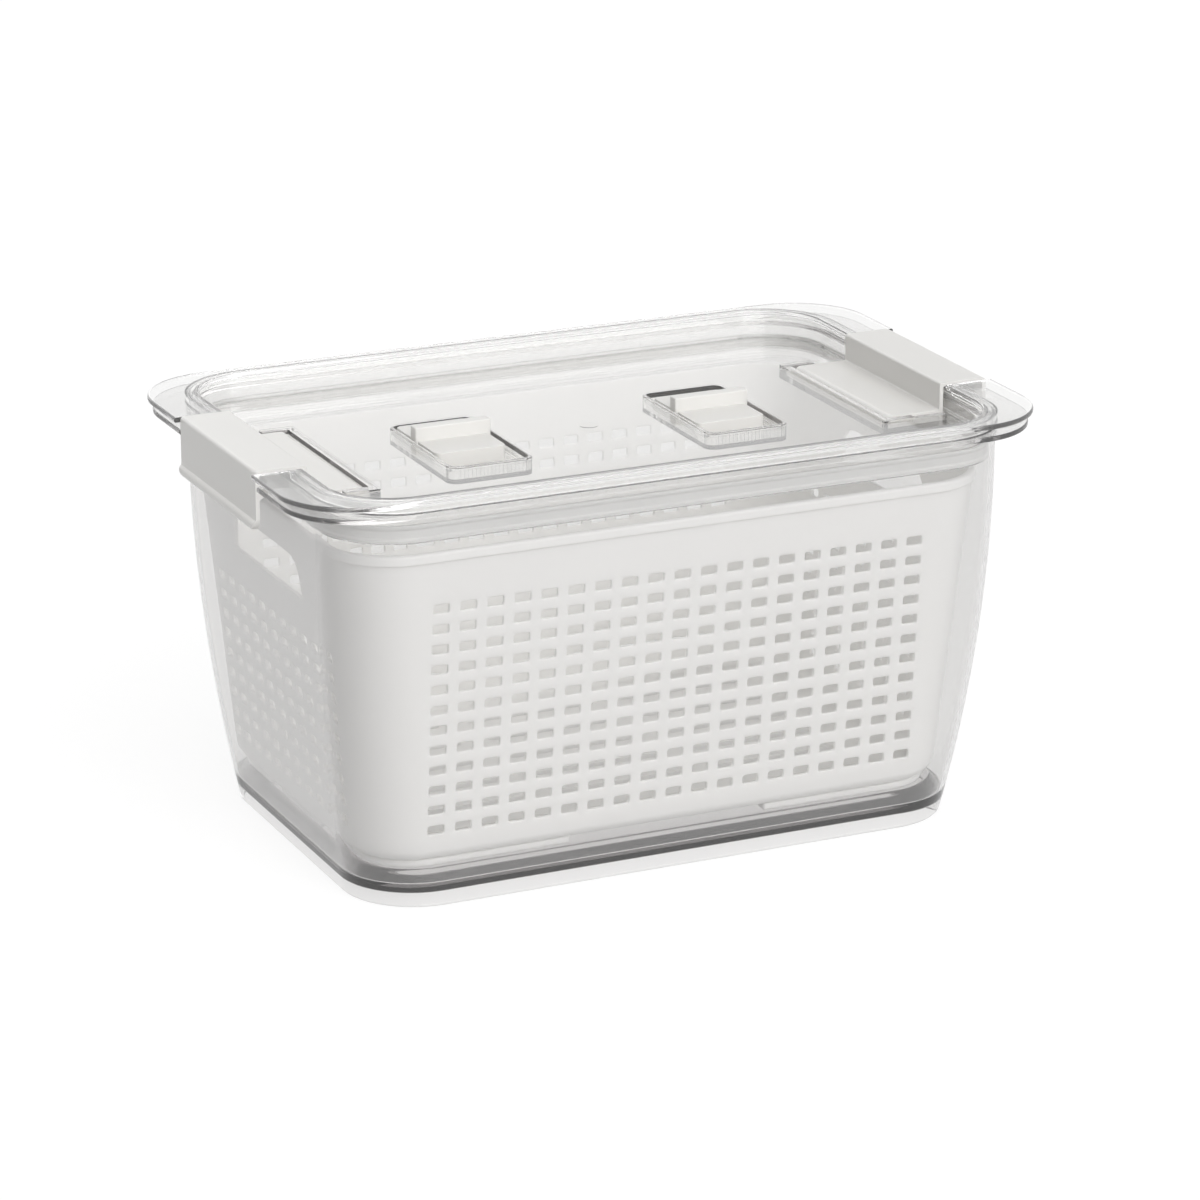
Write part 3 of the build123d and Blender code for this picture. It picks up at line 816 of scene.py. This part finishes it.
class BasketMesh:
    """Collects the points and faces of the basket."""

    def __init__(self):
        self.points = []
        self.faces = []

    def add(self, points):
        """Adds points and gives their numbers."""
        first = len(self.points)
        self.points += points
        return list(range(first, first + len(points)))

    def bridge(self, ring_a, ring_b):
        """Joins two closed rings of points."""
        for step in range(len(ring_a)):
            after = (step + 1) % len(ring_a)
            self.faces.append([ring_a[step], ring_a[after], ring_b[after], ring_b[step]])

    def hole(self, wall, u, z, outer_cell, inner_cell):
        """A rounded hole in one cell, given the cell's four corners on both skins."""
        rings = []
        for inset, ease in THROUGH_STOPS:
            arcs = hole_outline(HOLE[0] + ease, HOLE[1] + ease, HOLE[2] + ease)
            rings.append([self.add([wall_point(wall, u + du, z + dz, inset) for du, dz in arc])
                          for arc in arcs])
        for arcs, cell in ((rings[0], outer_cell), (rings[-1], inner_cell)):
            for quarter in range(4):
                arc = arcs[quarter]
                for first, second in zip(arc, arc[1:]):
                    self.faces.append([cell[quarter], second, first])
                after = (quarter + 1) % 4
                self.faces.append([cell[quarter], cell[after], arcs[after][0], arc[-1]])
        flat = [[number for arc in arcs for number in arc] for arcs in rings]
        for ring_a, ring_b in zip(flat, flat[1:]):
            self.bridge(ring_a, ring_b)


def cell_wall(index):
    """The wall that a step of the ring lies on, and the place of its middle across that wall."""
    quarter, place = divmod(index, QUARTER)
    mirrored = quarter in (1, 3)
    at_seam = place == QUARTER - 1
    if mirrored:
        place = QUARTER - 2 - place
    sides = (("front", "right"), ("back", "right"), ("back", "left"), ("front", "left"))
    front, end = sides[quarter]
    flip = -1 if mirrored else 1
    if at_seam:
        return (("right", 0.0), ("back", 0.0), ("left", 0.0), ("front", 0.0))[quarter]
    if 0 <= place < FRONT_HALF - 1:
        return (front, flip * (place + 1) * PITCH_ACROSS)
    if place >= QUARTER - END_HALF:
        return (end, -flip * (QUARTER - 1 - place) * PITCH_ACROSS)
    return (None, 0.0)


# %% [markdown]
# The rings of both skins are laid out from the floor up: the rounded lower edge, the rows of the
# grid, and the rim. The handle opening at each end takes the place of a block of cells, which is
# filled by triangles between the block's edge and the opening.

# %% Basket build
LOWER_RADIUS = 7.0
LOWER_STEPS = 6
RIM_LAP = 2.0
RIM_OUT = 1.0
FLOOR_SLOT = (28.0, 2.0, 1.9)
FLOOR_SLOT_STEPS = 4
SLOT_PITCH_X = 68.0
SLOT_PITCH_Y = 22.0
FEET_INSET = 3.9
FEET_WIDTH = 6.0
FEET_Z = 13.9
FEET_TOP_Z = 17.2
FEET_CUT_Z = (10, 20)
FEET_GAPS = ((41.0, 100.0, 0), (140.0, 5.0, 26.0), (140.0, 5.0, -26.0))
ROW_LEVELS = [FIRST_ROW_Z + (row - 0.5) * PITCH_Z for row in range(SIDE_ROWS + 1)]
GRID_LEVELS = ROW_LEVELS + [ROW_LEVELS[-1] + PITCH_Z]
HANDLE_ROW = SIDE_ROWS + 1 - HANDLE_ROWS
HANDLE_LOW_Z = 112.0
HANDLE_TOP_Z = 127.5
HANDLE_MIDDLE = Vector((0.0, (HANDLE_LOW_Z + HANDLE_TOP_Z) / 2))
HANDLE_STOPS = [((-30.0, HANDLE_LOW_Z), 0), ((36.0, HANDLE_LOW_Z), 3.0),
                ((32.5, HANDLE_TOP_Z), 10.0), ((-32.5, HANDLE_TOP_Z), 10.0),
                ((-36.0, HANDLE_LOW_Z), 3.0), ((-30.5, HANDLE_LOW_Z), 0)]


def lower_rings(inset, floor_z, radius):
    """Rings round the rounded lower edge, from the floor to the wall."""
    rings = []
    for step in range(LOWER_STEPS):
        angle = math.pi / 2 * step / LOWER_STEPS
        z = floor_z + radius * (1 - math.cos(angle))
        rings.append(basket_ring(basket_outline(z, inset + radius * (1 - math.sin(angle))), z))
    return rings


def fill_between(basket, *loops):
    """Triangles between an outer loop and the openings in it."""
    work = bmesh.new()
    verts = {number: work.verts.new(basket.points[number]) for loop in loops for number in loop}
    edges = []
    for loop in loops:
        for first, second in zip(loop, loop[1:] + loop[:1]):
            edges.append(work.edges.new((verts[first], verts[second])))
    numbers = {vert: number for number, vert in verts.items()}
    filled = bmesh.ops.triangle_fill(work, use_beauty=True, edges=edges)
    for face in filled["geom"]:
        if isinstance(face, bmesh.types.BMFace):
            basket.faces.append([numbers[vert] for vert in face.verts])
    work.free()


def basket_skin(basket, inset):
    """All rings of one skin, as numbered points."""
    floor_z = BASKET_FLOOR + inset
    rings = lower_rings(inset, floor_z, LOWER_RADIUS - inset)
    first_row = len(rings)
    rings += [basket_ring(basket_outline(z, inset), z) for z in GRID_LEVELS]
    return [basket.add(ring) for ring in rings], first_row


def fill_cells(basket, outer, inner, first_row):
    """Plain faces, holes and handle openings between the rings of both skins."""
    for level in range(len(outer) - 1):
        row = level - first_row
        for index in range(RING_COUNT):
            after = (index + 1) % RING_COUNT
            wall, u = cell_wall(index)
            rows = SIDE_ROWS if wall in ("front", "back") else END_ROWS
            cells = [[rings[level + 1][after], rings[level + 1][index], rings[level][index],
                      rings[level][after]] for rings in (outer, inner)]
            in_handle = (wall in ("right", "left") and row >= HANDLE_ROW
                         and abs(u) < HANDLE_COLUMNS / 2 * PITCH_ACROSS)
            if in_handle:
                continue
            if wall and 0 <= row < rows:
                z = ROW_LEVELS[row] + PITCH_Z / 2
                basket.hole(wall, u, z, *cells)
            else:
                basket.faces += cells


def block_edge(rings, level_low, level_high, start, count):
    """The points round a block of cells."""
    steps = [(start + step) % RING_COUNT for step in range(count + 1)]
    bottom = [rings[level_low][step] for step in steps]
    top = [rings[level_high][step] for step in steps]
    right = [rings[level][steps[-1]] for level in range(level_low + 1, level_high)]
    left = [rings[level][steps[0]] for level in range(level_low + 1, level_high)]
    return bottom + right + top[::-1] + left[::-1]


def add_handles(basket, outer, inner, first_row):
    """The openings at both ends."""
    low = first_row + HANDLE_ROW
    high = low + HANDLE_ROWS
    for wall, middle in (("right", QUARTER - 1), ("left", 3 * QUARTER - 1)):
        start = middle - HANDLE_COLUMNS // 2
        loops = []
        for inset, ease in THROUGH_STOPS:
            loop = []
            for point in bend(HANDLE_STOPS):
                out = (point - HANDLE_MIDDLE).normalized() * ease
                loop.append(wall_point(wall, point.x + out.x, point.y + out.y, inset))
            loops.append(basket.add(loop))
        for ring_a, ring_b in zip(loops, loops[1:]):
            basket.bridge(ring_a, ring_b)
        fill_between(basket, block_edge(outer, low, high, start, HANDLE_COLUMNS), loops[0])
        fill_between(basket, block_edge(inner, low, high, start, HANDLE_COLUMNS), loops[-1])


def add_rim(basket, outer_top, inner_top):
    """The rounded bead that joins both skins at the top."""
    path = bend([((0.0, RIM_Z - RIM_LAP), 0), ((0.0, RIM_Z), 0.5), ((RIM_OUT, RIM_Z), 0.6),
                 ((RIM_OUT, BASKET_Z), 1.3), ((-BASKET_WALL, BASKET_Z), 0.8),
                 ((-BASKET_WALL, RIM_Z - RIM_LAP), 0)])
    previous = outer_top
    for stop in path:
        outline = grow(basket_outline(min(stop.y, RIM_Z)), stop.x)
        ring = basket.add(basket_ring(outline, stop.y))
        basket.bridge(previous, ring)
        previous = ring
    basket.bridge(previous, inner_top)


def add_floor(basket, outer_ring, inner_ring):
    """The floor with its drain slots."""
    loops = []
    for z in (BASKET_FLOOR, BASKET_FLOOR + BASKET_WALL):
        at_z = []
        for column in (-1, 0, 1):
            for row in range(-3, 3):
                middle = Vector((column * SLOT_PITCH_X, (row + 0.5) * SLOT_PITCH_Y, 0)) + SHIFT
                at_z.append(basket.add([point + middle for point
                                        in outline_points(FLOOR_SLOT, z, FLOOR_SLOT_STEPS)]))
        loops.append(at_z)
    for low, high in zip(*loops):
        basket.bridge(low, high)
    fill_between(basket, outer_ring, *loops[0])
    fill_between(basket, inner_ring, *loops[1])


def make_feet():
    """Low feet under the corners and ends of the basket."""
    outer = grow(basket_outline(BASKET_FLOOR), -FEET_INSET)
    inner = grow(outer, -FEET_WIDTH)
    section = ((outer, FEET_Z), (outer, FEET_TOP_Z), (inner, FEET_TOP_Z), (inner, FEET_Z))
    rings = [[point + SHIFT for point in outline_points(ring, z)] for ring, z in section]
    feet = add_mesh("feet", *skin(rings, closed=True))
    for half_x, half_y, y in FEET_GAPS:
        carve(feet, prism("gap", (half_x, half_y, 0.5), *FEET_CUT_Z, (SHIFT.x, SHIFT.y + y)))
    soften(feet, width=1.1)
    return feet


def make_basket():
    """The off-white basket."""
    basket = BasketMesh()
    outer, first_row = basket_skin(basket, 0.0)
    inner, _ = basket_skin(basket, BASKET_WALL)
    fill_cells(basket, outer, inner, first_row)
    add_handles(basket, outer, inner, first_row)
    add_rim(basket, outer[-1], inner[-1])
    add_floor(basket, outer[0], inner[0])
    body = add_mesh("basket_body", basket.points, basket.faces)
    piece = join([body, make_feet()], "drain_basket")
    finish_piece(piece, BASKET_WHITE, "basket", ["basket"], sharp=50)


make_basket()

# %% [markdown]
# ## Floor and light
# The box stands on a floor that glows, under large soft lamps. To the camera, and to glossy and
# refracted rays, the floor and the world are near white, as they would be in a white studio.
# To all other rays they are dimmer, so that the lamps shape the box.


# %% Floor, lamps and world
STUDIO_HALF = 4000
STUDIO_DROP = 0.1


def seen_white(tree, socket, otherwise, seen):
    """One value where the camera looks, straight, by gloss or through plastic, else another."""
    path = tree.nodes.new("ShaderNodeLightPath")
    straight = tree.nodes.new("ShaderNodeMath")
    straight.operation = "MAXIMUM"
    either = tree.nodes.new("ShaderNodeMath")
    either.operation = "MAXIMUM"
    level = tree.nodes.new("ShaderNodeMapRange")
    level.inputs["To Min"].default_value = otherwise
    level.inputs["To Max"].default_value = seen
    tree.links.new(path.outputs["Is Camera Ray"], straight.inputs[0])
    tree.links.new(path.outputs["Is Glossy Ray"], straight.inputs[1])
    tree.links.new(straight.outputs[0], either.inputs[0])
    tree.links.new(path.outputs["Is Transmission Ray"], either.inputs[1])
    tree.links.new(either.outputs[0], level.inputs["Value"])
    tree.links.new(level.outputs["Result"], socket)


def add_floor_plane():
    """A wide floor that glows near white to the camera and still takes a faint shadow."""
    corners = [(x * STUDIO_HALF, y * STUDIO_HALF, -STUDIO_DROP)
               for x, y in ((-1, -1), (1, -1), (1, 1), (-1, 1))]
    floor = add_mesh("studio_floor", corners, [(0, 1, 2, 3)])
    material, tree, shader = new_material("studio_floor")
    shader.inputs["Base Color"].default_value = (0.2, 0.2, 0.2, 1)
    shader.inputs["Roughness"].default_value = 1.0
    shader.inputs["Specular IOR Level"].default_value = 0.0
    shader.inputs["Emission Color"].default_value = (1, 1, 1, 1)
    seen_white(tree, shader.inputs["Emission Strength"], otherwise=0.4, seen=0.86)
    floor.data.materials.append(material)


def add_sun(name, turn, tilt, softness, strength):
    """A soft lamp far away, so that it lights the floor evenly."""
    data = bpy.data.lights.new(name, "SUN")
    data.angle = math.radians(softness)
    data.energy = strength
    lamp = bpy.data.objects.new(name, data)
    lamp.rotation_euler = (math.radians(90 - tilt), 0, math.radians(turn))
    lamp.location = (0, 0, 1.5)
    bpy.context.scene.collection.objects.link(lamp)


def add_world():
    """An even studio world, white to the camera, in gloss and in clear plastic."""
    world = bpy.data.worlds.new("studio")
    world.use_nodes = True
    bpy.context.scene.world = world
    background = world.node_tree.nodes["Background"]
    background.inputs["Color"].default_value = (1, 1, 1, 1)
    seen_white(world.node_tree, background.inputs["Strength"], otherwise=0.3, seen=1.0)


add_floor_plane()
add_sun("key_lamp", turn=8, tilt=52, softness=50, strength=1.05)
add_sun("front_lamp", turn=8, tilt=20, softness=60, strength=1.55)
add_sun("back_lamp", turn=190, tilt=30, softness=60, strength=0.8)
add_world()
bpy.context.scene.view_settings.view_transform = "Standard"
